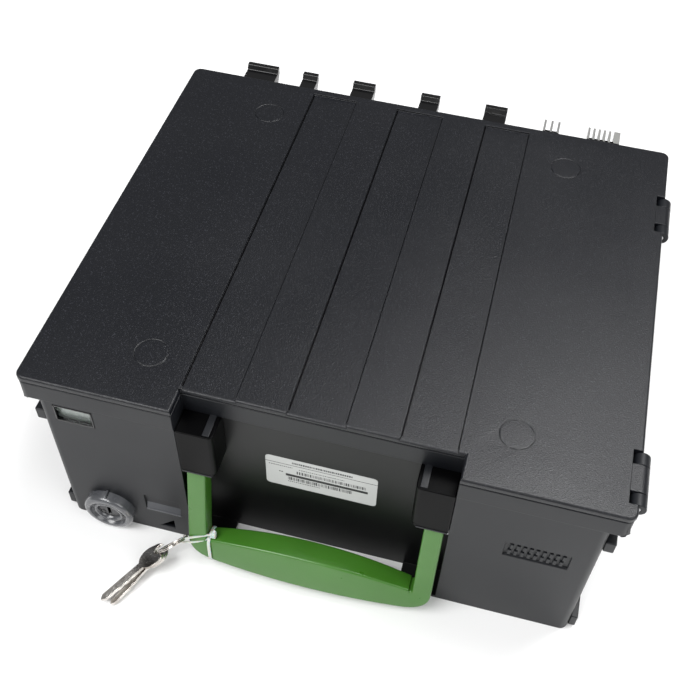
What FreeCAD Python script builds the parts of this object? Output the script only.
"""Banknote cassette of a cash machine, lying with its lid up, millimetres.

Frame: origin at the centre of the base's resting face, +Z up through the lid,
-Y the front with the carry handle and the lock, +Y the docking side.
"""
import FreeCAD, Part
import math
import os
import re

import Sketcher

# Driving sizes. Each alias is one cell of the sheet "dim".
SIZES = {
    # casing
    "lid_width": 400, "lid_depth": 345, "total_height": 165, "lid_thick": 4.5,
    "lid_gap": 1, "collar_height": 16.5, "collar_inset": 0.5, "body_inset": 10.5,
    "rear_inset": 7.5, "wall": 3, "floor_thick": 3, "pod_setback": 1, "notch_width": 186,
    "notch_depth": 19, "recess_depth": 20.5, "scoop_width": 129, "corner_round": 6,
    "collar_lip": 1, "channel_wall": 2, "channel_roof": 3, "channel_end": 6,
    # lid surface and frame
    "strip_depth": 1.5, "strip_margin": 7, "strip_lead": 0.4, "first_low": 37.1,
    "first_high": 34.3, "second_low": 38.6, "second_high": 34.9, "third_low": 36.7,
    "ring_radius": 11.4, "ring_width": 0.8, "ring_depth": 0.5, "ring_side": 78.5,
    "ring_end": 42, "rib_height": 4, "rib_width": 6, "rib_side": 16, "rib_front": 4,
    "rib_rear": 6,
    # hinge on the right edge, its places from the front and from the rear
    "hinge_radius": 5.5, "hinge_drop": 6.5, "hinge_pin_radius": 2, "ear_length": 9,
    "knuckle_length": 20, "hinge_front": 31, "hinge_rear": 74, "hinge_play": 0.4,
    "web_reach": 3, "notch_side": 1,
    # front face
    "pocket_side": 7, "pocket_width": 27, "pocket_height": 29, "pocket_rise": 18,
    "pocket_skin": 1, "drain_side": 14, "drain_size": 12, "drain_height": 7,
    "inset_side": 37, "inset_width": 43, "inset_drop": 40, "inset_rise": 17,
    "label_width": 79, "label_rise": 35, "label_drop": 35, "label_shift": 0.5,
    "label_thick": 0.3,
    # slide rails
    "upper_rail_drop": 19, "upper_rail_rise": 11, "upper_rail_proud": 7,
    "lower_rail_base": 2, "lower_rail_rise": 13, "lower_rail_proud": 5, "rail_end": 4,
    # rear edge
    "finger_reach": 18, "finger_root": 9, "finger_tip": 4, "finger_rise": 2,
    "comb_step": 3, "comb_reach": 9, "comb_drop": 6, "tine_width": 1.8, "tine_reach": 15,
    "tine_base": 9, "tine_drop": 0.5, "small_comb_side": 98, "small_comb_width": 13,
    "large_comb_side": 134, "large_comb_width": 26, "large_last_tine": 5,
    # carry handle
    "pivot_height": 88.4, "pivot_back": 8, "handle_side": 3, "arm_width": 13.5,
    "arm_depth": 14, "grip_height": 20, "grip_crown": 11, "grip_bulge": 5,
    "grip_corner": 16, "handle_tilt": 12, "handle_floor": 6.5, "handle_pin_radius": 3,
    "pin_bite": 1, "hood_width": 26, "hood_wall": 2.5, "hood_play": 0.6,
    "hood_setback": 0.5,
    # cable tie, key ring and keys
    "tie_strap": 1.3, "tie_play": 0.5, "tie_width": 4, "tie_inset": 1, "tie_slack": 0.9,
    "tie_lift": 1.8, "tie_loop": 9.6, "tie_cord": 1.1, "tie_head": 3.2, "loop_side": 9,
    "loop_reach": 6.3, "loop_height": 25, "head_side": 4.7, "head_back": 0.7,
    "head_height": 31.8, "keyring_radius": 11.5, "keyring_wire": 1, "keyring_overlap": 4.4,
    "key_thick": 2, "key_head": 10.5, "key_neck": 7, "key_hole": 4.2, "key_half": 3.6,
    "key_bit": 4.6, "key_length": 50, "key_point": 3, "key_apart": 4.4,
    # lock, riser and latch
    "lock_inset": 33.5, "lock_height": 20, "lock_radius": 19, "lock_proud": 8.5,
    "lock_edge": 3, "lock_land": 6, "lock_dish": 3, "barrel_radius": 8, "barrel_sunk": 3.5,
    "keyway_width": 2.4, "keyway_height": 9.2, "keyway_depth": 6, "cam_back": 11.5,
    "cam_thick": 3.5, "cam_throw": 8.5, "cam_half": 3.6, "cam_pin_radius": 2,
    "riser_back": 16, "riser_thick": 3, "riser_travel": 12, "riser_side": 11,
    "riser_width": 6, "riser_foot": 6.5, "riser_pin_radius": 1.5, "riser_pin_drop": 7,
    "slot_play": 0.55, "latch_travel": 8, "latch_side": 2, "latch_thick": 3,
    "latch_peg": 2, "peg_reach": 5, "peg_drop": 7, "peg_lead": 13, "slant_half": 1.9,
    "rail_foot": 4, "rail_roof": 2, "latch_reach": 72.5, "guide_length": 8,
    "staple_length": 9, "striker_half": 9, "striker_drop": 13, "striker_thick": 3.5,
    "striker_mouth": 5, "striker_stop": 3, "striker_side": 6.5,
    "window_width": 27.5, "window_height": 17, "window_inset": 24.7, "window_drop": 3,
    "lens_lap": 2, "lens_thick": 1.5, "flag_back": 5.5, "flag_thick": 1.5, "flag_lap": 1.5,
    # note bay
    "bay_left": 105, "bay_right": 97, "divider_thick": 3, "divider_drop": 11,
    "note_floor_level": 28, "note_floor_thick": 2, "rod_radius": 5, "rod_offset": 60,
    "support_thick": 6, "support_side": 5, "screw_radius": 5, "screw_centre": 5,
    "screw_height": 15, "screw_bush": 2, "journal_step": 1, "dog_rim": 1.5, "dog_length": 6,
    "dog_proud": 2, "dog_slot": 3, "port_play": 1.5, "pusher_drop": 9, "pusher_thick": 4,
    "pusher_side": 3, "pusher_lift": 0.5, "push_rib": 3, "feed_gap": 44,
    "carriage_start": 8, "carriage_length": 22, "carriage_half": 9, "carriage_seat": 8,
    "carriage_arm": 32, "arm_half": 3, "arm_rise": 26, "nut_wall": 3, "rod_beyond": 50,
    # transport
    "shaft_radius": 4, "shaft_end": 5, "shaft_bush": 3, "roller_radius": 13,
    "roller_width": 16, "separator_radius": 9, "gear_module": 1.5, "gear_face": 8,
    "gear_inset": 26.5, "gear_end": 2, "gear_window_side": 3, "feed_back": 50.5,
    "feed_drop": 17, "slot_drop": 11, "slot_rise": 20, "slot_side": 8, "chute_reach": 13,
    "chute_end": 7, "chute_thick": 3,
    # docking side
    "dock_inset": 39.5, "dock_height": 30, "dock_radius": 4, "dock_depth": 12,
    "dock_boss": 8, "shutter_thick": 2, "shutter_lap": 4, "track_width": 6,
    "track_depth": 5, "track_lip": 2, "track_drop": 32, "track_rise": 6,
    "board_side": 7, "board_width": 44, "board_rise": 24, "board_thick": 1.6,
    "pad_thick": 0.4, "pad_width": 3, "pad_pitch": 5, "pad_height": 7, "pad_row": 11,
    "pad_edge": 3, "head_radius": 3, "head_thick": 0.7, "head_inset": 6.5,
    # clearances
    "run": 0.05, "play": 0.3,
}

# Places worked out from the driving sizes, all as expressions.
PLACES = {
    "half_x": "lid_width/2",
    "half_y": "lid_depth/2",
    "lid_under": "total_height-lid_thick",
    "collar_top": "lid_under-lid_gap",
    "collar_base": "collar_top-collar_height",
    "collar_x": "half_x-collar_inset",
    "body_x": "half_x-body_inset",
    "body_rear": "half_y-rear_inset",
    "inner_x": "body_x-wall",
    "inner_rear": "body_rear-wall",
    "pod_face": "-half_y+pod_setback",
    "recess_face": "-half_y+recess_depth+pod_setback",
    "tub_front": "recess_face+wall",
    "inner_front": "tub_front+wall",
    "notch_x": "notch_width/2",
    "notch_y": "-half_y+notch_depth",
    "hinge_x": "half_x",
    "hinge_z": "total_height-hinge_drop",
    "handle_half": "notch_x-handle_side",
    "arm_inner": "handle_half-arm_width",
    "pivot_y": "-half_y+pivot_back",
    "grip_base": "-(pivot_height-handle_floor)/cos(handle_tilt)",
    "grip_y": "pivot_y-(pivot_height-handle_floor)*tan(handle_tilt)",
    "hood_base": "pivot_height+arm_depth/2+hood_play",
    "lock_side": "body_x-lock_inset",
    "window_side": "body_x-window_inset",
    "window_level": "collar_base-window_drop-window_height/2",
    "dock_side": "body_x-dock_inset",
    "gear_start": "inner_x-gear_inset",
    "slot_high": "collar_base-slot_drop",
    "slot_low": "slot_high-slot_rise",
    "feed_y": "half_y-feed_back",
    "feed_z": "slot_low-feed_drop",
    "divider_top": "collar_base-divider_drop",
    "pusher_top": "collar_base-pusher_drop",
    "pusher_back": "inner_front+carriage_start+carriage_seat",
    "pusher_travel": "feed_y-roller_radius-feed_gap-pusher_back-pusher_thick",
    "rod_length": "pusher_travel+rod_beyond",
    "stem": "lock_side+riser_side",
    "stem_out": "stem+riser_width-1.5",
    "stem_in": "stem-1.5",
}

GEARS = {"feed": 24, "drive": 20, "separation": 16}
TIP_FACTOR = 0.75          # tooth height above the pitch circle, in modules
ROOT_FACTOR = 1.15         # tooth depth below the pitch circle, in modules
DRIVE_ANGLE = -26.645      # from the feed axis down to the drive axis, degrees
SEPARATION_ANGLE = 53.130  # from the feed axis up to the separation axis, degrees
FINGERS = ((-158, 27), (-109, 13), (-65, 19), (-6.4, 16), (48, 18.5))  # start, width
RING_ALONG = (-0.76, -0.28, -0.59)   # from the tie's loop to the keys
RING_ACROSS = (-0.14, 0.61, -0.78)   # the second direction in the ring's plane
KEY_TURNS = (-25, -33)     # of the two keys about the upright axis, degrees
KEY_ROLL = -30             # of both keys about their own length, degrees
LINK_HEIGHT = 24           # of the ring's link on the loop
KEY_TIP_HEIGHT = 4.2
CAM_TURN = 45              # of the cam below the level, unlocked, degrees
KEY_HANG = 1.4             # of a key's hole below the ring's wire
STRIKERS = (-60, 60)       # along the latch bar
LATCH_GUIDES = (-105, 5, 85)
RISER_GUIDES = ("lock_height+20", "window_level-47.5")
PUSH_RIBS = (-84, -50, -6, 38, 72)
ROLLERS = (-70, -30, 4, 44)
NODES = []

doc = FreeCAD.newDocument("banknote_cassette")
sheet = doc.addObject("Spreadsheet::Sheet", "dim")
for row, (alias, number) in enumerate(SIZES.items(), start=1):
    sheet.set(f"A{row}", alias)
    sheet.set(f"B{row}", str(number))
    sheet.setAlias(f"B{row}", alias)
doc.recompute()

WORD = re.compile(r"[a-z][a-z_]*")


def bound(text):
    """Expression text with every size and place written out in cells."""
    def swap(match):
        word = match.group(0)
        if word in SIZES:
            return "dim." + word
        if word in PLACES:
            return "(" + bound(PLACES[word]) + ")"
        return word
    return WORD.sub(swap, str(text))


def number_of(text):
    """Value of an expression, for shapes that are made with Part's functions."""
    value = sheet.evalExpression(bound(text))
    return float(getattr(value, "Value", value))


def keep(item):
    """Count an object as a finished sub-part."""
    NODES.append(item)
    return item


def bind(item, **expressions):
    """Bind an object's properties to the sheet."""
    for name, text in expressions.items():
        item.setExpression(name.replace("__", "."), bound(text))
    return item


def at(item, x="0", y="0", z="0"):
    """Bind the place of an object."""
    return bind(item, Placement__Base__x=x, Placement__Base__y=y, Placement__Base__z=z)


def block(label, x, y, z):
    """Box between three pairs of limits."""
    box = doc.addObject("Part::Box", label)
    box.Label = label
    bind(box, Length=f"({x[1]})-({x[0]})", Width=f"({y[1]})-({y[0]})", Height=f"({z[1]})-({z[0]})")
    return at(box, x[0], y[0], z[0])


TURNS = {"x": FreeCAD.Rotation(FreeCAD.Vector(0, 1, 0), 90),
         "y": FreeCAD.Rotation(FreeCAD.Vector(1, 0, 0), -90),
         "z": FreeCAD.Rotation()}


def rod(label, along, radius, start, length):
    """Cylinder along x, y or z from its start point."""
    item = doc.addObject("Part::Cylinder", label)
    item.Label = label
    item.Placement = FreeCAD.Placement(FreeCAD.Vector(), TURNS[along])
    bind(item, Radius=radius, Height=length)
    return at(item, *start)


def ring(label, major, minor, centre, normal):
    """Torus about a centre with its normal along a vector."""
    item = doc.addObject("Part::Torus", label)
    item.Label = label
    turn = FreeCAD.Rotation(FreeCAD.Vector(0, 0, 1), FreeCAD.Vector(*normal))
    item.Placement = FreeCAD.Placement(FreeCAD.Vector(), turn)
    bind(item, Radius1=major, Radius2=minor)
    return at(item, *centre)


def group(label, members):
    """Several solids as one sub-part."""
    item = doc.addObject("Part::Compound", label)
    item.Label = label
    item.Links = members
    return item


def fuse(label, members):
    """Union of several solids."""
    item = doc.addObject("Part::MultiFuse", label)
    item.Label = label
    item.Shapes = members
    item.Refine = True
    return item


def cut(label, base, tools):
    """A solid less one or more tools."""
    item = doc.addObject("Part::Cut", label)
    item.Label = label
    item.Base = base
    item.Tool = tools[0] if len(tools) == 1 else group(label + "_tools", tools)
    return item


# PartDesign helpers: sketches hold outlines whose points are bound to the sheet.
PLANES = {"z": "XY_Plane", "y": "XZ_Plane", "x": "YZ_Plane"}


def new_body(label):
    """Empty PartDesign body."""
    body = doc.addObject("PartDesign::Body", label)
    body.Label = label
    return body


def new_sketch(body, name, across, offset):
    """Sketch across an axis, at an offset along its plane's normal."""
    item = body.newObject("Sketcher::SketchObject", name)
    plane = next(f for f in body.Origin.OriginFeatures if f.Role == PLANES[across])
    item.AttachmentSupport = [(plane, "")]
    item.MapMode = "FlatFace"
    item.setExpression("AttachmentOffset.Base.z", bound(offset))
    return item


def fix(item, kind, element, point, value, text):
    """Dimension from the sketch's origin, bound to the sheet."""
    index = item.addConstraint(Sketcher.Constraint(kind, -1, 1, element, point, value))
    item.setExpression(f"Constraints[{index}]", bound(text))


def draw_outline(item, points):
    """Closed outline; a point (u, v, "arc") is passed through by an arc."""
    values = [FreeCAD.Vector(number_of(p[0]), number_of(p[1]), 0) for p in points]
    count = len(points)
    corners = [i for i in range(count) if len(points[i]) == 2]
    made, through = [], []
    for place, first in enumerate(corners):
        last = corners[(place + 1) % len(corners)]
        middle = (first + 1) % count
        if middle != last:
            arc = Part.Arc(values[first], values[middle], values[last])
            element = item.addGeometry(arc, False)
            start, end = item.getPoint(element, 1), item.getPoint(element, 2)
            forward = start.distanceToPoint(values[first]) < end.distanceToPoint(values[first])
            made.append((element, 1 if forward else 2, 2 if forward else 1))
            passed = item.addGeometry(Part.Point(values[middle]), True)
            through.append((passed, element, middle))
        else:
            line = Part.LineSegment(values[first], values[last])
            made.append((item.addGeometry(line, False), 1, 2))
    for place, (element, start, end) in enumerate(made):
        after = made[(place + 1) % len(made)]
        item.addConstraint(Sketcher.Constraint("Coincident", element, end, after[0], after[1]))
        point = points[corners[place]]
        corner = values[corners[place]]
        fix(item, "DistanceX", element, start, corner.x, point[0])
        fix(item, "DistanceY", element, start, corner.y, point[1])
    for passed, element, middle in through:
        fix(item, "DistanceX", passed, 1, values[middle].x, points[middle][0])
        fix(item, "DistanceY", passed, 1, values[middle].y, points[middle][1])
        item.addConstraint(Sketcher.Constraint("PointOnObject", passed, 1, element))


def draw_circle(item, centre, radius):
    """Circle with its centre and radius bound."""
    middle = FreeCAD.Vector(number_of(centre[0]), number_of(centre[1]), 0)
    circle = Part.Circle(middle, FreeCAD.Vector(0, 0, 1), number_of(radius))
    element = item.addGeometry(circle, False)
    fix(item, "DistanceX", element, 3, middle.x, centre[0])
    fix(item, "DistanceY", element, 3, middle.y, centre[1])
    index = item.addConstraint(Sketcher.Constraint("Radius", element, circle.Radius))
    item.setExpression(f"Constraints[{index}]", bound(radius))


def rectangle(u, v):
    """Corner points of a rectangle."""
    return [(u[0], v[0]), (u[1], v[0]), (u[1], v[1]), (u[0], v[1])]


def extrude(body, name, across, low, high, outlines, remove=False):
    """Pad or pocket of outlines between two places on an axis."""
    offset = f"-({high})" if across == "y" else low
    item = new_sketch(body, name + "_sketch", across, offset)
    for outline in outlines:
        if len(outline) == 2:
            draw_circle(item, *outline)
        else:
            draw_outline(item, outline)
    kind = "PartDesign::Pocket" if remove else "PartDesign::Pad"
    feature = body.newObject(kind, name)
    feature.Profile = item
    feature.Reversed = remove
    feature.setExpression("Length", bound(f"({high})-({low})"))
    before = body.Shape.Volume if remove else 0
    doc.recompute()
    if remove and body.Shape.Volume >= before:
        raise RuntimeError(f"{name} removes nothing")
    return feature


def round_edges(body, name, radius, along, wanted):
    """Fillet the straight edges that run along an axis and pass a test."""
    tip = body.Tip
    found = []
    for index, edge in enumerate(tip.Shape.Edges, start=1):
        if edge.Curve.TypeId != "Part::GeomLine":
            continue
        run = edge.Curve.Direction
        if abs(getattr(run, along)) > 0.999 and wanted(edge.CenterOfMass):
            found.append(f"Edge{index}")
    feature = body.newObject("PartDesign::Fillet", name)
    feature.Base = (tip, found)
    feature.setExpression("Radius", bound(radius))
    doc.recompute()
    return feature


def near(point, x=None, y=None, z=None, reach=0.6):
    """True where a point lies at the given values."""
    tests = ((point.x, x), (point.y, y), (point.z, z))
    return all(t is None or abs(v - number_of(t)) < reach for v, t in tests)


# ---------------------------------------------------------------- casing
def make_base_tub():
    """Open tub: floor, four walls, docking bosses, note slot and gear window."""
    body = new_body("base_tub")
    extrude(body, "tub_block", "z", "0", "collar_base",
            [rectangle(("-body_x", "body_x"), ("tub_front", "body_rear"))])
    extrude(body, "tub_hollow", "z", "floor_thick", "collar_base",
            [rectangle(("-inner_x", "inner_x"), ("inner_front", "inner_rear"))], remove=True)
    extrude(body, "dock_bosses", "y", "inner_rear-dock_depth", "inner_rear+wall/2",
            [((f"{side}*dock_side", "dock_height"), "dock_boss") for side in (-1, 1)])
    extrude(body, "dock_bores", "y", "body_rear-dock_depth", "body_rear",
            [((f"{side}*dock_side", "dock_height"), "dock_radius") for side in (-1, 1)],
            remove=True)
    extrude(body, "note_slot", "y", "inner_rear", "body_rear",
            [rectangle(("-bay_left+slot_side", "bay_right-slot_side"), ("slot_low", "slot_high"))],
            remove=True)
    middle = shaft_places()["drive"][1]
    half = f"(gear_module*{GEARS['drive'] / 2 + TIP_FACTOR}+play)"
    extrude(body, "gear_window", "y", "inner_rear", "body_rear",
            [rectangle(("gear_start-gear_window_side", "gear_start+gear_face+gear_window_side"),
                       (f"{middle}-{half}", f"{middle}+{half}"))], remove=True)
    extrude(body, "screw_port", "y", "inner_rear", "body_rear",
            [(("-screw_centre", "screw_height"), "screw_radius+dog_rim+port_play")],
            remove=True)
    extrude(body, "latch_notch", "y", "tub_front", "inner_front",
            [rectangle(("-inner_x", "-inner_x+latch_side+latch_thick+riser_width-riser_thick+1"),
                       ("collar_base-riser_travel-riser_width", "collar_base"))],
            remove=True)
    round_edges(body, "tub_corners", "corner_round", "z",
                lambda p: near(p, y="body_rear") and abs(p.x) > number_of("body_x") - 1)
    return keep(body)


def ear_places(which):
    """Start and end of the two ears and the knuckle between them."""
    middle = "(-half_y+hinge_front)" if which == "hinge_front" else "(half_y-hinge_rear)"
    inner = "(knuckle_length/2+hinge_play)"
    ears = [(f"{middle}-{inner}-ear_length", f"{middle}-{inner}"),
            (f"{middle}+{inner}", f"{middle}+{inner}+ear_length")]
    knuckle = (f"{middle}-knuckle_length/2", f"{middle}+knuckle_length/2")
    room = (f"{middle}-{inner}", f"{middle}+{inner}")
    whole = (f"{middle}-{inner}-ear_length-hinge_play", f"{middle}+{inner}+ear_length+hinge_play")
    return ears, knuckle, room, whole


def make_collar_frame():
    """Collar below the lid, with its front notch and the hinge ears."""
    body = new_body("collar_frame")
    outer = [("-collar_x", "-half_y"), ("-notch_x", "-half_y"), ("-notch_x", "notch_y"),
             ("notch_x", "notch_y"), ("notch_x", "-half_y"), ("collar_x", "-half_y"),
             ("collar_x", "half_y"), ("-collar_x", "half_y")]
    pod_inner, pod_side = "pod_face+wall", "notch_x+wall+collar_lip"
    inner = [("-inner_x", pod_inner), (f"-({pod_side})", pod_inner),
             (f"-({pod_side})", "inner_front"), (pod_side, "inner_front"), (pod_side, pod_inner),
             ("inner_x", pod_inner), ("inner_x", "inner_rear"), ("-inner_x", "inner_rear")]
    extrude(body, "collar_block", "z", "collar_base", "collar_top", [outer])
    extrude(body, "collar_opening", "z", "collar_base", "collar_top", [inner], remove=True)
    for side, name in ((-1, "left"), (1, "right")):
        limits = sorted((f"{side}*(body_x+channel_wall)", f"{side}*(collar_x-channel_wall)"),
                        key=number_of)
        extrude(body, f"{name}_channel", "z", "collar_base", "collar_top-channel_roof",
                [rectangle(limits, ("-half_y+channel_end", "half_y-channel_end"))], remove=True)
    axis = ("hinge_x", "hinge_z")
    for which in ("hinge_front", "hinge_rear"):
        ears, _, room, _ = ear_places(which)
        for index, (low, high) in enumerate(ears):
            extrude(body, f"{which}_ear_{index}", "y", low, high, [(axis, "hinge_radius")])
        extrude(body, f"{which}_room", "y", room[0], room[1],
                [(axis, "hinge_radius+hinge_play")], remove=True)
        extrude(body, f"{which}_bore", "y", ears[0][0], ears[1][1],
                [(axis, "hinge_pin_radius+run/2")], remove=True)
    round_edges(body, "collar_corners", "corner_round", "z",
                lambda p: abs(abs(p.y) - number_of("half_y")) < 0.6
                and abs(p.x) > number_of("collar_x") - 1)
    return keep(body)


def make_front_bezel():
    """Two hollow front pods with the handle recess between them."""
    body = new_body("front_bezel")
    outline = [("-body_x", "pod_face"), ("-notch_x", "pod_face"), ("-notch_x", "recess_face"),
               ("notch_x", "recess_face"), ("notch_x", "pod_face"), ("body_x", "pod_face"),
               ("body_x", "tub_front"), ("-body_x", "tub_front")]
    extrude(body, "bezel_block", "z", "0", "collar_base", [outline])
    pods = [rectangle(("-inner_x", "-notch_x-wall"), ("pod_face+wall", "tub_front")),
            rectangle(("notch_x+wall", "inner_x"), ("pod_face+wall", "tub_front"))]
    extrude(body, "pod_hollows", "z", "floor_thick", "collar_base", pods, remove=True)
    ledges = [rectangle(("-notch_x", "-scoop_width/2"), ("pod_face", "recess_face")),
              rectangle(("scoop_width/2", "notch_x"), ("pod_face", "recess_face"))]
    extrude(body, "recess_ledges", "z", "0", "floor_thick", ledges)
    half_w, half_h = "window_width/2", "window_height/2"
    window = rectangle((f"-window_side-{half_w}", f"-window_side+{half_w}"),
                       (f"window_level-{half_h}", f"window_level+{half_h}"))
    lock = (("-lock_side", "lock_height"), "barrel_radius+run")
    drain_in, drain_top = "-notch_x-drain_side", "drain_height+drain_size"
    drain = [(f"{drain_in}-drain_size", "drain_height"), (drain_in, "drain_height"),
             (drain_in, drain_top)]
    extrude(body, "pod_openings", "y", "pod_face", "pod_face+wall", [window, lock, drain],
            remove=True)
    extrude(body, "finger_pocket", "y", "pod_face", "pod_face+wall-pocket_skin",
            [rectangle(("-notch_x-pocket_side-pocket_width", "-notch_x-pocket_side"),
                       ("pocket_height", "pocket_height+pocket_rise"))], remove=True)
    extrude(body, "date_inset", "y", "pod_face", "pod_face+wall/2",
            [rectangle(("notch_x+inset_side", "notch_x+inset_side+inset_width"),
                       ("collar_base-inset_drop-inset_rise", "collar_base-inset_drop"))],
            remove=True)
    for side, name in ((-1, "left"), (1, "right")):
        limits = sorted((f"{side}*notch_x", f"{side}*(notch_x+wall)"), key=number_of)
        extrude(body, f"{name}_pin_bore", "x", limits[0], limits[1],
                [(("pivot_y", "pivot_height"), "handle_pin_radius+run/2")], remove=True)
    round_edges(body, "bezel_corners", "corner_round", "z",
                lambda p: near(p, y="pod_face") and abs(p.x) > number_of("body_x") - 1)
    return keep(body)


def make_hood(side, name):
    """Cover over the top of one handle arm, open below."""
    body = new_body(f"hood_{name}")
    outer, inner = f"{side}*(notch_x-play)", f"{side}*(notch_x-hood_width)"
    across = sorted((outer, inner), key=number_of)
    hollow = sorted((f"{side}*(notch_x-play-hood_wall)",
                     f"{side}*(notch_x-hood_width+hood_wall)"), key=number_of)
    extrude(body, f"{name}_hood_block", "y", "-half_y+hood_setback", "recess_face",
            [rectangle(across, ("hood_base", "collar_base"))])
    round_edges(body, f"{name}_hood_corner", "corner_round", "y",
                lambda p: near(p, x=inner, z="hood_base"))
    extrude(body, f"{name}_hood_hollow", "z", "hood_base", "collar_base-hood_wall",
            [rectangle(hollow, ("-half_y+hood_setback+hood_wall", "recess_face"))], remove=True)
    return keep(body)


def make_guide_fingers():
    """Hooked fingers on the rear edge that mesh with the dock's paper guide."""
    fingers = []
    root, tip = "collar_base+comb_step", "half_y+finger_reach"
    for index, (low, width) in enumerate(FINGERS):
        body = new_body(f"finger_{index}")
        hook = [("half_y", root), ("half_y+finger_root", root), (tip, "total_height-lid_thick"),
                (tip, "total_height+finger_rise"), (f"{tip}-finger_tip", "total_height+finger_rise"),
                (f"{tip}-1.5*finger_tip", "total_height-finger_rise"),
                ("half_y+play", "total_height-finger_rise"), ("half_y+play", "collar_top"),
                ("half_y", "collar_top")]
        extrude(body, f"finger_{index}_pad", "x", str(low), str(low + width), [hook])
        fingers.append(body)
    return keep(group("guide_fingers", fingers))


def make_comb(label, low, width, tines, last_width):
    """Comb of thin tines on a base along the rear edge."""
    base = block(label + "_base", (low, f"{low}+{width}"), ("half_y", "half_y+comb_reach"),
                 ("collar_base+comb_step", "total_height-comb_drop"))
    pitch = f"({width}-{last_width})/({tines}-1)"
    members = [base]
    for index in range(tines):
        start = f"{low}+{index}*{pitch}"
        width_here = last_width if index == tines - 1 else "tine_width"
        tine = block(f"{label}_tine_{index}", (start, f"{start}+{width_here}"),
                     ("half_y+play", "half_y+tine_reach"),
                     ("collar_base+tine_base", "total_height-tine_drop"))
        members.append(tine)
    return keep(fuse(label, members))


def make_rails():
    """Two slide rails on each side of the body."""
    spans = {"upper_rail": "(collar_base-upper_rail_drop-upper_rail_rise)",
             "lower_rail": "lower_rail_base"}
    for label, low in spans.items():
        pair = []
        for side, name in ((-1, "left"), (1, "right")):
            limits = sorted((f"{side}*body_x", f"{side}*(body_x+{label}_proud)"), key=number_of)
            pair.append(block(f"{label}_{name}", limits, ("pod_face+rail_end", "body_rear-rail_end"),
                              (low, f"{low}+{label}_rise")))
        keep(group(label + "s", pair))


# ---------------------------------------------------------------- lid
def make_lid():
    """Lid plate with sunk strips, ring marks, hinge knuckles and a front notch."""
    body = new_body("lid_panel")
    outline = [("-half_x", "-half_y"), ("-notch_x", "-half_y"), ("-notch_x", "notch_y"),
               ("notch_x", "notch_y"), ("notch_x", "-half_y"), ("half_x", "-half_y"),
               ("half_x", "half_y"), ("-half_x", "half_y")]
    extrude(body, "lid_plate", "z", "lid_under", "total_height", [outline])
    strips, low = [], "-notch_x-strip_lead"
    for sunk, raised in (("first_low", "first_high"), ("second_low", "second_high"),
                         ("third_low", "0")):
        strips.append(rectangle((low, f"{low}+{sunk}"), ("notch_y", "half_y-strip_margin")))
        low = f"{low}+{sunk}+{raised}"
    extrude(body, "sunk_strips", "z", "total_height-strip_depth", "total_height", strips,
            remove=True)
    rings = []
    for x in ("-half_x+ring_side", "half_x-ring_side"):
        for y in ("-half_y+ring_end", "half_y-ring_end"):
            rings += [((x, y), "ring_radius+ring_width/2"), ((x, y), "ring_radius-ring_width/2")]
    extrude(body, "ring_marks", "z", "total_height-ring_depth", "total_height", rings,
            remove=True)
    axis = ("hinge_x", "hinge_z")
    for which in ("hinge_front", "hinge_rear"):
        _, knuckle, _, whole = ear_places(which)
        extrude(body, f"{which}_notch", "z", "lid_under", "total_height",
                [rectangle(("hinge_x-hinge_radius-notch_side", "hinge_x+notch_side"), whole)], remove=True)
        web = rectangle(("hinge_x-hinge_radius-web_reach", "hinge_x"),
                        ("lid_under", "hinge_z+hinge_radius"))
        extrude(body, f"{which}_web", "y", knuckle[0], knuckle[1], [web])
        extrude(body, f"{which}_knuckle", "y", knuckle[0], knuckle[1], [(axis, "hinge_radius")])
        extrude(body, f"{which}_knuckle_bore", "y", knuckle[0], knuckle[1],
                [(axis, "hinge_pin_radius+run")], remove=True)
    round_edges(body, "lid_corners", "corner_round", "z",
                lambda p: abs(abs(p.y) - number_of("half_y")) < 0.6
                and abs(p.x) > number_of("half_x") - 1)
    keep(body)
    pins = []
    for which in ("hinge_front", "hinge_rear"):
        ears, _, _, _ = ear_places(which)
        length = f"({ears[1][1]})-({ears[0][0]})"
        pins.append(rod(f"{which}_pin", "y", "hinge_pin_radius",
                        ("hinge_x", ears[0][0], "hinge_z"), length))
    keep(group("hinge_pins", pins))


def make_lid_stiffener():
    """Ribbed frame below the lid plate."""
    body = new_body("lid_stiffener")
    reach_x, front, rear = "inner_x-rib_side", "inner_front+rib_front", "inner_rear-rib_rear"
    extrude(body, "stiffener_plate", "z", "lid_under-rib_height", "lid_under",
            [rectangle((f"-({reach_x})", reach_x), (front, rear))])
    cells = []
    columns, rows = 4, 3
    step_x = f"(2*({reach_x})-rib_width)/{columns}"
    step_y = f"(({rear})-({front})-rib_width)/{rows}"
    for column in range(columns):
        for row in range(rows):
            x = f"-({reach_x})+rib_width+{column}*{step_x}"
            y = f"({front})+rib_width+{row}*{step_y}"
            cells.append(rectangle((x, f"{x}+{step_x}-rib_width"), (y, f"{y}+{step_y}-rib_width")))
    extrude(body, "stiffener_cells", "z", "lid_under-rib_height", "lid_under", cells, remove=True)
    keep(body)
    strikers = []
    foot, step = "lid_under-striker_drop", "lid_under-striker_drop+striker_thick"
    side = "-inner_x+striker_side"
    for index, y in enumerate(STRIKERS):
        body = new_body(f"striker_{index}")
        rear, front, stop = f"{y}+striker_half", f"{y}-striker_half", f"{y}+striker_stop"
        shape = [(rear, "lid_under"), (rear, foot), (front, foot), (front, step), (stop, step),
                 (stop, f"{step}+striker_mouth"), (front, f"{step}+striker_mouth"),
                 (front, "lid_under")]
        extrude(body, f"striker_{index}_pad", "x", side, f"{side}+striker_thick", [shape])
        strikers.append(body)
    keep(group("lid_strikers", strikers))


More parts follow.
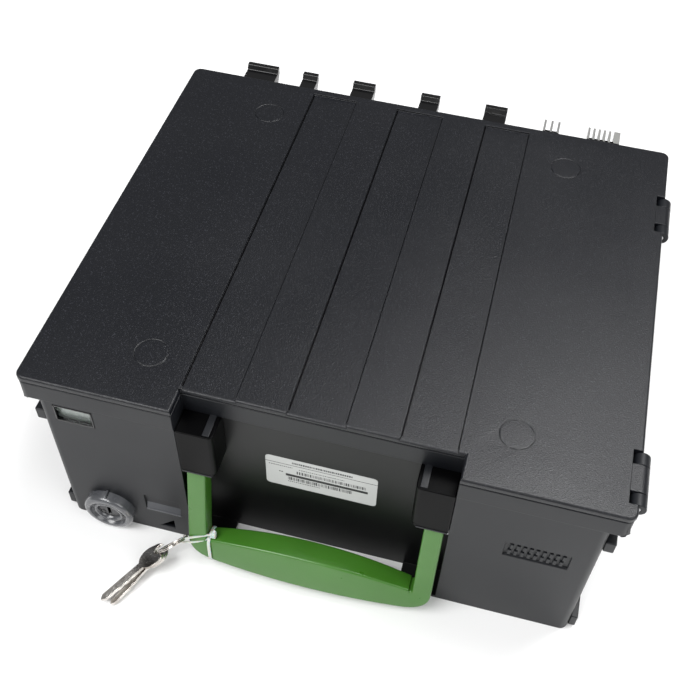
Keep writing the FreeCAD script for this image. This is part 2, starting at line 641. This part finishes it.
# ---------------------------------------------------------------- handle and keys
def tilt(item, x="0"):
    """Hang a piece from the handle's pivot at the handle's resting tilt."""
    item.Placement = FreeCAD.Placement(FreeCAD.Vector(), FreeCAD.Rotation(FreeCAD.Vector(-1, 0, 0), 1))
    at(item, x, "pivot_y", "pivot_height")
    return bind(item, Placement__Rotation__Angle="handle_tilt")


def make_handle():
    """Swinging U handle whose grip swells forwards and upwards at its middle."""
    body = new_body("carry_handle")
    outer, inner, half = "handle_half", "arm_inner", "arm_depth/2"
    base, top = "grip_base", "grip_base+grip_height"
    outline = [(f"-{outer}", half), (f"-{outer}", base), (outer, base), (outer, half),
               (inner, half), (inner, top), ("0", f"{top}+grip_crown", "arc"),
               (f"-({inner})", top), (f"-({inner})", half)]
    front = f"-({half})-grip_bulge"
    extrude(body, "handle_outline", "y", front, half, [outline])
    swell = [(f"-{outer}-1", f"{front}-1"), (f"{outer}+1", f"{front}-1"), (f"{outer}+1", f"-({half})"),
             (inner, f"-({half})"), ("0", front, "arc"), (f"-({inner})", f"-({half})"),
             (f"-{outer}-1", f"-({half})")]
    extrude(body, "handle_swell", "z", f"{base}-1", f"{half}+1", [swell], remove=True)
    extrude(body, "handle_bores", "x", f"-{outer}", outer, [(("0", "0"), "handle_pin_radius+run")],
            remove=True)
    low = number_of(base)
    round_edges(body, "handle_corners", "grip_corner", "y",
                lambda p: abs(p.z - low) < 0.5 and abs(p.x) > number_of(outer) - 1)
    round_edges(body, "handle_tops", "arm_depth/2-2*run", "x",
                lambda p: abs(p.z - number_of(half)) < 0.5)
    keep(tilt(body))
    pins = []
    for side in (-1, 1):
        ends = sorted((f"{side}*(notch_x+wall)", f"{side}*(arm_inner+pin_bite)"), key=number_of)
        pins.append(rod(f"handle_pin_{'left' if side < 0 else 'right'}", "x", "handle_pin_radius",
                        (ends[0], "pivot_y", "pivot_height"), f"({ends[1]})-({ends[0]})"))
    keep(group("handle_pins", pins))


def make_tie_and_keys():
    """Cable tie on the handle's lower corner with a ring of two keys."""
    limits = ("-arm_inner+tie_inset", "-arm_inner+tie_inset+tie_width")
    low, high = "grip_base-tie_play", "grip_base+grip_height+tie_play+tie_lift"
    front, back = "-arm_depth/2-tie_play-tie_slack", "arm_depth/2+tie_play"
    outer = block("tie_outer", limits, (f"{front}-tie_strap", f"{back}+tie_strap"),
                  (f"{low}-tie_strap", f"{high}+tie_strap"))
    hollow = block("tie_inner", (f"{limits[0]}-1", f"{limits[1]}+1"), (front, back), (low, high))
    band = tilt(cut("tie_band", outer, [hollow]))
    loop_x, loop_y = "-arm_inner-loop_side", "grip_y-loop_reach"
    side = ring("tie_side", "tie_loop", "tie_cord", (loop_x, loop_y, "loop_height"), (0, 1, 0))
    head = doc.addObject("Part::Sphere", "tie_knot")
    bind(head, Radius="tie_head")
    at(head, "-arm_inner+head_side", "grip_y+head_back", "head_height")
    keep(fuse("cable_tie", [band, side, head]))

    link = FreeCAD.Vector(number_of(f"{loop_x}-tie_loop"), number_of(loop_y), LINK_HEIGHT)
    along = FreeCAD.Vector(*RING_ALONG).normalize()
    normal = along.cross(FreeCAD.Vector(*RING_ACROSS)).normalize()
    major = number_of("keyring_radius")
    centre = link + along * (major - number_of("keyring_overlap"))
    keep(ring("key_ring", "keyring_radius", "keyring_wire", [str(v) for v in centre],
              tuple(normal)))
    end = centre + along * major
    wire_run = normal.cross(along)
    for index, turn in enumerate(KEY_TURNS):
        body = new_body(f"key_{'ab'[index]}")
        extrude(body, f"key_{index}_head", "z", "0", "key_thick", [(("0", "-key_neck"), "key_head")])
        tip = "-key_length"
        bits = [(wide, f"{tip}+{step}") for step, wide in
                ((10, "key_half"), (13, "key_bit"), (16, "key_half"), (19, "key_bit"),
                 (22, "key_half"))]
        blade = [("-key_half", "-key_neck"), ("-key_half", tip), ("0", f"{tip}-key_point"),
                 ("key_half", tip), *bits, ("key_half", "-key_neck")]
        extrude(body, f"key_{index}_blade", "z", "0", "key_thick", [blade])
        extrude(body, f"key_{index}_hole", "z", "0", "key_thick", [(("0", "0"), "key_hole")],
                remove=True)
        reach = number_of("key_length+key_point")
        pitch = math.degrees(math.asin((end.z - KEY_TIP_HEIGHT) / reach))
        body.Placement = FreeCAD.Placement(
            end + wire_run * ((0.5 - index) * number_of("key_apart")) - FreeCAD.Vector(0, 0, KEY_HANG),
            FreeCAD.Rotation(FreeCAD.Vector(0, 0, 1), turn).multiply(
                FreeCAD.Rotation(FreeCAD.Vector(1, 0, 0), pitch)).multiply(
                    FreeCAD.Rotation(FreeCAD.Vector(0, 1, 0), KEY_ROLL)))
        keep(body)


# ---------------------------------------------------------------- lock, riser and latch
def make_lock():
    """Round lock housing, turning barrel, cam, riser, flag and latch bar."""
    body = new_body("lock_housing")
    sketch = new_sketch(body, "housing_profile", "x", "0")
    back, face = "pod_face", "pod_face-lock_proud"
    bore, dish = "barrel_radius+run", f"{face}+lock_dish"
    draw_outline(sketch, [(back, bore), (back, "lock_radius"), (f"{face}+lock_edge", "lock_radius"),
                          (face, "lock_radius-lock_edge"), (face, "lock_radius-lock_land"),
                          (dish, "barrel_radius+lock_dish"), (dish, bore)])
    turned = body.newObject("PartDesign::Revolution", "housing_turn")
    turned.Profile = sketch
    turned.ReferenceAxis = (sketch, ["H_Axis"])
    turned.Angle = 360
    at(body, "-lock_side", "0", "lock_height")
    keep(body)

    barrel = rod("barrel", "y", "barrel_radius", ("-lock_side", f"{face}+barrel_sunk", "lock_height"),
                 "cam_back+lock_proud-barrel_sunk")
    keyway = block("keyway", ("-lock_side-keyway_width/2", "-lock_side+keyway_width/2"),
                   (f"{face}+barrel_sunk-1", f"{face}+barrel_sunk+keyway_depth"),
                   ("lock_height-keyway_height/2", "lock_height+keyway_height/2"))
    keep(cut("lock_cylinder", barrel, [keyway]))
    make_cam()
    make_riser()
    make_window()
    make_latch()


def make_cam():
    """Cam on the barrel's end, with the pin that lifts the riser."""
    body = new_body("lock_cam")
    plane = ("pod_face+cam_back", "pod_face+cam_back+cam_thick")
    tip = "-cam_throw-cam_pin_radius-1.4"
    extrude(body, "cam_hub", "y", *plane, [(("0", "0"), "barrel_radius-cam_pin_radius")])
    extrude(body, "cam_arm", "y", *plane, [rectangle((tip, "cam_pin_radius"),
                                                     ("-cam_half", "cam_half"))])
    extrude(body, "cam_pin", "y", plane[0], "pod_face+riser_back+riser_thick+0.5",
            [(("-cam_throw", "0"), "cam_pin_radius")])
    body.Placement = FreeCAD.Placement(FreeCAD.Vector(),
                                       FreeCAD.Rotation(FreeCAD.Vector(0, -1, 0), CAM_TURN))
    keep(at(body, "-lock_side", "0", "lock_height"))


def make_riser():
    """Bar that the cam lifts, with a foot, a slot, an arm to the flag and a pin."""
    body = new_body("riser_bar")
    low = f"(lock_height-cam_throw*{math.sin(math.radians(CAM_TURN)):.4f})"
    plane = ("pod_face+riser_back", "pod_face+riser_back+riser_thick")
    foot = rectangle(("-stem_out", "-lock_side+cam_pin_radius-0.5"),
                     (f"{low}-riser_foot", f"{low}+riser_foot"))
    extrude(body, "riser_foot", "y", *plane, [foot])
    bar = rectangle(("-stem_out", "-stem_in"), (f"{low}+riser_foot-0.5", "collar_base+cam_pin_radius"))
    extrude(body, "riser_stem", "y", *plane, [bar])
    half = "(cam_pin_radius+slot_play)"
    slot = rectangle(("-lock_side-cam_throw-cam_half", "-lock_side-cam_half+1"),
                     (f"{low}-{half}", f"{low}+{half}"))
    extrude(body, "riser_slot", "y", *plane, [slot], remove=True)
    under = "window_level-window_height/2"
    extrude(body, "riser_arm", "y", "pod_face+flag_back+flag_thick", plane[0],
            [rectangle(("-stem_out", "-stem_in"), (f"{under}-5.5", f"{under}+0.5"))])
    extrude(body, "riser_pin", "x", "-inner_x+play", "-stem_out",
            [(("pod_face+riser_back+riser_thick/2", "collar_base-riser_pin_drop"),
              "riser_pin_radius")])
    keep(body)
    staples = []
    for index, z in enumerate(RISER_GUIDES):
        outer = block(f"riser_guide_{index}_block", ("-stem_out-wall", "-stem_in+wall"),
                      (f"{plane[0]}-flag_lap", "tub_front"), (z, f"{z}+staple_length"))
        room = block(f"riser_guide_{index}_room", ("-stem_out-play", "-stem_in+play"),
                     (f"{plane[0]}-play", f"{plane[1]}+play"), (f"{z}-1", f"{z}+staple_length+1"))
        staples.append(cut(f"riser_guide_{index}", outer, [room]))
    keep(group("riser_guides", staples))


def make_window():
    """Status flag behind its clear window."""
    half, top = "window_width/2", "window_level+window_height/2"
    keep(block("status_flag", (f"-window_side-{half}-flag_lap", f"-window_side+{half}+flag_lap"),
               ("pod_face+flag_back", "pod_face+flag_back+flag_thick"),
               (f"{top}-window_height-riser_travel-flag_lap", f"{top}+1")))
    keep(block("window_lens", (f"-window_side-{half}-lens_lap", f"-window_side+{half}+lens_lap"),
               ("pod_face+wall", "pod_face+wall+lens_thick"),
               (f"{top}-window_height-lens_lap", f"{top}+lens_lap")))


def make_latch():
    """Latch bar along the left wall, pulled back by the riser's pin in its slant."""
    body = new_body("latch_bar")
    sides = ("-inner_x+latch_side", "-inner_x+latch_side+latch_thick")
    rail = ("collar_base+rail_foot", "collar_top-rail_roof")
    plate = rectangle(("pod_face+wall+2", "tub_front-0.5"),
                      ("collar_base-riser_travel-wall", rail[1]))
    extrude(body, "latch_plate", "x", *sides, [plate])
    bar = rectangle(("tub_front-1", "half_y-latch_reach"), rail)
    extrude(body, "latch_rail", "x", *sides, [bar])
    slope = math.hypot(SIZES["riser_travel"], SIZES["latch_travel"])
    lean_y = f"slant_half*riser_travel/{slope:.6f}"
    lean_z = f"slant_half*latch_travel/{slope:.6f}"
    run_y, run_z = f"latch_travel*1.6/{slope:.6f}", f"riser_travel*1.6/{slope:.6f}"
    pin_y, pin_z = "pod_face+riser_back+riser_thick/2", "collar_base-riser_pin_drop"
    foot = (f"{pin_y}+{run_y}", f"{pin_z}-{run_z}")
    head = (f"{pin_y}-latch_travel-{run_y}", f"{pin_z}+riser_travel+{run_z}")
    slant = [(f"{foot[0]}+{lean_y}", f"{foot[1]}+{lean_z}"),
             (f"{head[0]}+{lean_y}", f"{head[1]}+{lean_z}"),
             (f"{head[0]}-{lean_y}", f"{head[1]}-{lean_z}"),
             (f"{foot[0]}-{lean_y}", f"{foot[1]}-{lean_z}")]
    extrude(body, "latch_slant", "x", *sides, [slant], remove=True)
    pegs = [((f"{y}-peg_lead", "lid_under-peg_drop"), "latch_peg") for y in STRIKERS]
    extrude(body, "latch_pegs", "x", sides[1], f"{sides[1]}+peg_reach", pegs)
    keep(body)
    guides = []
    for index, y in enumerate(LATCH_GUIDES):
        outer = block(f"latch_guide_{index}_block", ("-inner_x", f"{sides[1]}+wall"),
                      (str(y), f"{y}+guide_length"), ("collar_base", "collar_top-0.5"))
        room = block(f"latch_guide_{index}_room", (f"{sides[0]}-play", f"{sides[1]}+play"),
                     (f"{y}-1", f"{y}+guide_length+1"), (f"{rail[0]}-play", f"{rail[1]}+play"))
        guides.append(cut(f"latch_guide_{index}", outer, [room]))
    keep(group("latch_guides", guides))


# ---------------------------------------------------------------- note bay
def make_note_bay():
    """Dividers, note floor, guide rods, lead screw and the pusher."""
    shafts = shaft_places()
    for name, low, high in (("left", "-bay_left-divider_thick", "-bay_left"),
                            ("right", "bay_right", "bay_right+divider_thick")):
        body = new_body(f"divider_{name}")
        extrude(body, f"divider_{name}_plate", "x", low, high,
                [rectangle(("inner_front", "inner_rear"), ("floor_thick", "divider_top"))])
        extrude(body, f"divider_{name}_bores", "x", low, high,
                [(shafts[key], "shaft_radius+shaft_bush") for key in ("feed", "separation")],
                remove=True)
        keep(body)

    body = new_body("note_floor")
    level = ("note_floor_level", "note_floor_level+note_floor_thick")
    extrude(body, "floor_plate", "z", *level,
            [rectangle(("-bay_left", "bay_right"), ("inner_front", "feed_y-roller_radius-wall-1"))])
    slots = []
    for side in (-1, 1):
        middle = f"-screw_centre+{side}*carriage_arm"
        slots.append(rectangle((f"{middle}-arm_half-1", f"{middle}+arm_half+1"),
                               ("inner_front+carriage_start-wall",
                                "inner_front+pusher_travel+carriage_arm")))
    extrude(body, "floor_slots", "z", *level, slots, remove=True)
    keep(body)
    make_rods()
    make_screw()
    make_pusher()


def make_rods():
    """Guide rods, their two supports and the screw's bushes."""
    supports, bushes = [], []
    for index, low in enumerate(("inner_front", "inner_front+rod_length-support_thick")):
        high = f"{low}+support_thick"
        body = new_body(f"rod_support_{index}")
        reach = "rod_offset+rod_radius+support_side"
        extrude(body, f"rod_support_{index}_pad", "y", low, high,
                [rectangle((f"-screw_centre-({reach})", f"-screw_centre+{reach}"),
                           ("floor_thick", "note_floor_level"))])
        holes = [((f"-screw_centre+{side}*rod_offset", "screw_height"), "rod_radius")
                 for side in (-1, 1)]
        holes.append((("-screw_centre", "screw_height"), "screw_radius+screw_bush"))
        extrude(body, f"rod_support_{index}_holes", "y", low, high, holes, remove=True)
        supports.append(body)
        outer = rod(f"bush_{index}_outer", "y", "screw_radius+screw_bush",
                    ("-screw_centre", low, "screw_height"), "support_thick")
        bore = rod(f"bush_{index}_bore", "y", "screw_radius-journal_step+run",
                   ("-screw_centre", low, "screw_height"), "support_thick")
        bushes.append(cut(f"screw_bush_{index}", outer, [bore]))
    keep(group("rod_supports", supports))
    keep(group("screw_bushes", bushes))
    keep(group("guide_rods", [
        rod(f"guide_rod_{side}", "y", "rod_radius",
            (f"-screw_centre+({side})*rod_offset", "inner_front", "screw_height"), "rod_length")
        for side in (-1, 1)]))


def make_screw():
    """Lead screw with its journals and the slotted dog that the bay turns."""
    thread = rod("screw_thread", "y", "screw_radius",
                 ("-screw_centre", "inner_front+support_thick+play", "screw_height"),
                 "rod_length-2*support_thick-2*play")
    journal = rod("screw_journal", "y", "screw_radius-journal_step",
                  ("-screw_centre", "inner_front+1", "screw_height"), "body_rear-inner_front")
    dog = rod("screw_dog", "y", "screw_radius+dog_rim",
              ("-screw_centre", "body_rear-dog_length", "screw_height"), "dog_length+dog_proud")
    half = "dog_slot/2"
    slot = block("screw_dog_slot", ("-screw_centre-2*screw_radius", "-screw_centre+2*screw_radius"),
                 (f"body_rear-{half}", "body_rear+dog_proud+1"),
                 (f"screw_height-{half}", f"screw_height+{half}"))
    keep(cut("lead_screw", fuse("screw_solid", [thread, journal, dog]), [slot]))


def make_pusher():
    """Carriage on the rods, its nut, and the ribbed plate that pushes the notes."""
    start, middle = "inner_front+carriage_start", ("-screw_centre", "screw_height")
    end = f"{start}+carriage_length"
    body = new_body("pusher_carriage")
    extrude(body, "carriage_block", "y", start, end,
            [rectangle(("-screw_centre-rod_offset-carriage_half",
                        "-screw_centre+rod_offset+carriage_half"),
                       ("screw_height-carriage_half", "screw_height+carriage_half"))])
    arms = []
    for side in (-1, 1):
        arm = f"-screw_centre+{side}*carriage_arm"
        arms.append(rectangle((f"{arm}-arm_half", f"{arm}+arm_half"),
                              ("screw_height+carriage_half-1", "note_floor_level+arm_rise")))
    extrude(body, "carriage_arms", "y", start, "pusher_back", arms)
    holes = [((f"-screw_centre+{side}*rod_offset", "screw_height"), "rod_radius+run")
             for side in (-1, 1)]
    holes.append((middle, "screw_radius+nut_wall"))
    extrude(body, "carriage_bores", "y", start, end, holes, remove=True)
    keep(body)
    outer = rod("nut_outer", "y", "screw_radius+nut_wall", (middle[0], start, middle[1]),
                "carriage_length")
    bore = rod("nut_bore", "y", "screw_radius+run", (middle[0], start, middle[1]), "carriage_length")
    keep(cut("screw_nut", outer, [bore]))

    body = new_body("pusher_plate")
    face = rectangle(("-bay_left+pusher_side", "bay_right-pusher_side"),
                     ("note_floor_level+note_floor_thick+pusher_lift", "pusher_top"))
    extrude(body, "pusher_face", "y", "pusher_back", "pusher_back+pusher_thick", [face])
    ribs = [rectangle((str(x), f"{x}+push_rib"),
                      ("note_floor_level+arm_rise+pusher_thick", "pusher_top-carriage_seat"))
            for x in PUSH_RIBS]
    extrude(body, "pusher_ribs", "y", f"{start}+2", "pusher_back", ribs)
    keep(body)


# ---------------------------------------------------------------- transport
def shaft_places():
    """Axes of the three shafts, as (y, z) expressions."""
    places = {"feed": ("feed_y", "feed_z")}
    for name, angle in (("drive", DRIVE_ANGLE), ("separation", SEPARATION_ANGLE)):
        reach = f"gear_module*{(GEARS['feed'] + GEARS[name]) / 2}"
        places[name] = (f"feed_y+{reach}*{math.cos(math.radians(angle)):.6f}",
                        f"feed_z+{reach}*{math.sin(math.radians(angle)):.6f}")
    return places


def make_gear(name, turn):
    """Spur gear on its shaft, with trapezoid teeth."""
    teeth = GEARS[name]
    y, z = shaft_places()[name]
    body = new_body(f"{name}_gear")
    span = ("gear_start", "gear_start+gear_face")
    root = f"gear_module*{teeth / 2 - ROOT_FACTOR}"
    tip = f"gear_module*{teeth / 2 + TIP_FACTOR}"
    extrude(body, f"{name}_disc", "x", *span, [(("0", "0"), root)])
    foot, head = "gear_module*1.0", "gear_module*0.36"
    tooth = extrude(body, f"{name}_tooth", "x", *span,
                    [[(f"{root}-0.6", f"-{foot}"), (tip, f"-{head}"), (tip, head),
                      (f"{root}-0.6", foot)]])
    pattern = body.newObject("PartDesign::PolarPattern", f"{name}_teeth")
    pattern.Originals = [tooth]
    pattern.Axis = (tooth.Profile[0], ["N_Axis"])
    pattern.Angle = 360
    pattern.Occurrences = teeth
    body.Tip = pattern
    doc.recompute()
    extrude(body, f"{name}_gear_bore", "x", *span,
            [(("0", "0"), "shaft_radius+run" if name == "drive" else "shaft_radius")], remove=True)
    body.Placement = FreeCAD.Placement(FreeCAD.Vector(),
                                       FreeCAD.Rotation(FreeCAD.Vector(1, 0, 0), turn))
    keep(at(body, "0", y, z))


def make_transport():
    """Feed and separation shafts with rollers, gears, bushes and the drive axle."""
    places = shaft_places()
    bushes = []
    for name, radius, label in (("feed", "roller_radius", "feed_rollers"),
                                ("separation", "separator_radius", "separation_rollers")):
        y, z = places[name]
        start = "bay_left+divider_thick+shaft_end"
        keep(rod(f"{name}_shaft", "x", "shaft_radius", (f"-({start})", y, z),
                 f"{start}+gear_start+gear_face+gear_end"))
        rollers = []
        for index, x in enumerate(ROLLERS):
            outer = rod(f"{label}_{index}_outer", "x", radius, (str(x), y, z), "roller_width")
            bore = rod(f"{label}_{index}_bore", "x", "shaft_radius", (str(x), y, z), "roller_width")
            rollers.append(cut(f"{label}_{index}", outer, [bore]))
        keep(group(label, rollers))
        for index, x in enumerate(("-bay_left-divider_thick", "bay_right")):
            outer = rod(f"{name}_bush_{index}_outer", "x", "shaft_radius+shaft_bush", (x, y, z),
                        "divider_thick")
            bore = rod(f"{name}_bush_{index}_bore", "x", "shaft_radius+run", (x, y, z),
                       "divider_thick")
            bushes.append(cut(f"{name}_bush_{index}", outer, [bore]))
    keep(group("shaft_bushes", bushes))
    y, z = places["drive"]
    keep(rod("drive_axle", "x", "shaft_radius", ("bay_right+divider_thick", y, z),
             "inner_x-bay_right-divider_thick"))
    make_gear("feed", DRIVE_ANGLE)
    make_gear("drive", DRIVE_ANGLE + 180 + 180 / GEARS["drive"])
    phase = (SEPARATION_ANGLE - DRIVE_ANGLE) % (360 / GEARS["feed"])
    make_gear("separation", SEPARATION_ANGLE + 180 + 180 / GEARS["separation"]
              + phase * GEARS["feed"] / GEARS["separation"])

    body = new_body("exit_chute")
    foot, front, back = "slot_low-2*chute_thick", "inner_rear-chute_reach", "inner_rear-chute_end"
    extrude(body, "chute_plate", "x", "-bay_left+play", "bay_right-play",
            [[(front, foot), (back, "slot_low-chute_thick/2"), (back, "slot_low-1.5*chute_thick"),
              (f"{front}+1", f"{foot}-chute_thick")]])
    keep(body)


def make_rear():
    """Sliding shutter in its tracks, and the docking contacts."""
    slide = ("inner_rear-shutter_thick-play", "inner_rear-play")
    keep(block("rear_shutter", ("-bay_left+track_lip+play", "bay_right-track_lip-play"), slide,
               ("slot_low-shutter_lap", "slot_high+shutter_lap")))
    tracks = []
    spans = (("-bay_left", "-bay_left+track_width"), ("bay_right-track_width", "bay_right"))
    for index, (low, high) in enumerate(spans):
        post = block(f"track_{index}_post", (low, high), ("inner_rear-track_depth", "inner_rear"),
                     ("slot_low-track_drop", "slot_high+track_rise"))
        room = block(f"track_{index}_room", ("-bay_left+track_lip", "bay_right-track_lip"),
                     (f"{slide[0]}-play", "inner_rear"),
                     ("slot_low-track_drop+track_lip", "slot_high+track_rise+1"))
        tracks.append(cut(f"track_{index}", post, [room]))
    keep(group("shutter_tracks", tracks))
    low = ("bay_right+board_side", "slot_low-pad_row-1")
    keep(block("contact_board", (low[0], f"{low[0]}+board_width"),
               ("body_rear", "body_rear+board_thick"), (low[1], f"{low[1]}+board_rise")))
    pads = []
    for column in range(8):
        for row in range(2):
            x = f"{low[0]}+pad_edge+{column}*pad_pitch"
            z = f"{low[1]}+pad_edge+{row}*pad_row"
            pads.append(block(f"contact_pad_{column}_{row}", (x, f"{x}+pad_width"),
                              ("body_rear+board_thick", "body_rear+board_thick+pad_thick"),
                              (z, f"{z}+pad_height")))
    keep(group("contact_pads", pads))
    keep(block("rating_label", ("label_shift-label_width/2", "label_shift+label_width/2"),
               ("recess_face-label_thick", "recess_face"),
               ("collar_base-label_drop-label_rise", "collar_base-label_drop")))
    side = "(collar_x-head_inset)"
    places = (("-", "-100"), ("-", "40"), ("-", "half_y-22.5"),
              ("", "-80"), ("", "20"), ("", "half_y-17.5"))
    heads = [rod(f"collar_screw_{index}", "z", "head_radius", (sign + side, y, "collar_top"),
                 "head_thick") for index, (sign, y) in enumerate(places)]
    heads += [rod(f"rear_screw_{index}", "z", "head_radius",
                  (str(x), "half_y-channel_end+1", "collar_top"), "head_thick")
              for index, x in enumerate((-120, 120))]
    keep(group("collar_screws", heads))


make_base_tub()
make_collar_frame()
make_front_bezel()
make_hood(-1, "left")
make_hood(1, "right")
make_guide_fingers()
make_comb("edge_comb_small", "small_comb_side", "small_comb_width", 3, "tine_width")
make_comb("edge_comb_large", "large_comb_side", "large_comb_width", 6, "large_last_tine")
make_rails()
make_lid()
make_lid_stiffener()
make_handle()
make_tie_and_keys()
make_lock()
make_note_bay()
make_transport()
make_rear()
doc.recompute()

for item in doc.Objects:
    if {"Invalid", "Error"} & set(item.State):
        raise RuntimeError(f"{item.Label} failed: {item.State}")
os.makedirs("parts", exist_ok=True)
for node in NODES:
    if node.Shape.isNull() or not node.Shape.isValid() or not node.Shape.Solids:
        raise RuntimeError(f"{node.Label} has no valid solid")
for node in NODES:
    node.Shape.exportStep(f"parts/{node.Label}.step")
    print(f"{node.Label}: {len(node.Shape.Solids)} solid(s), {node.Shape.Volume:.0f} mm3")
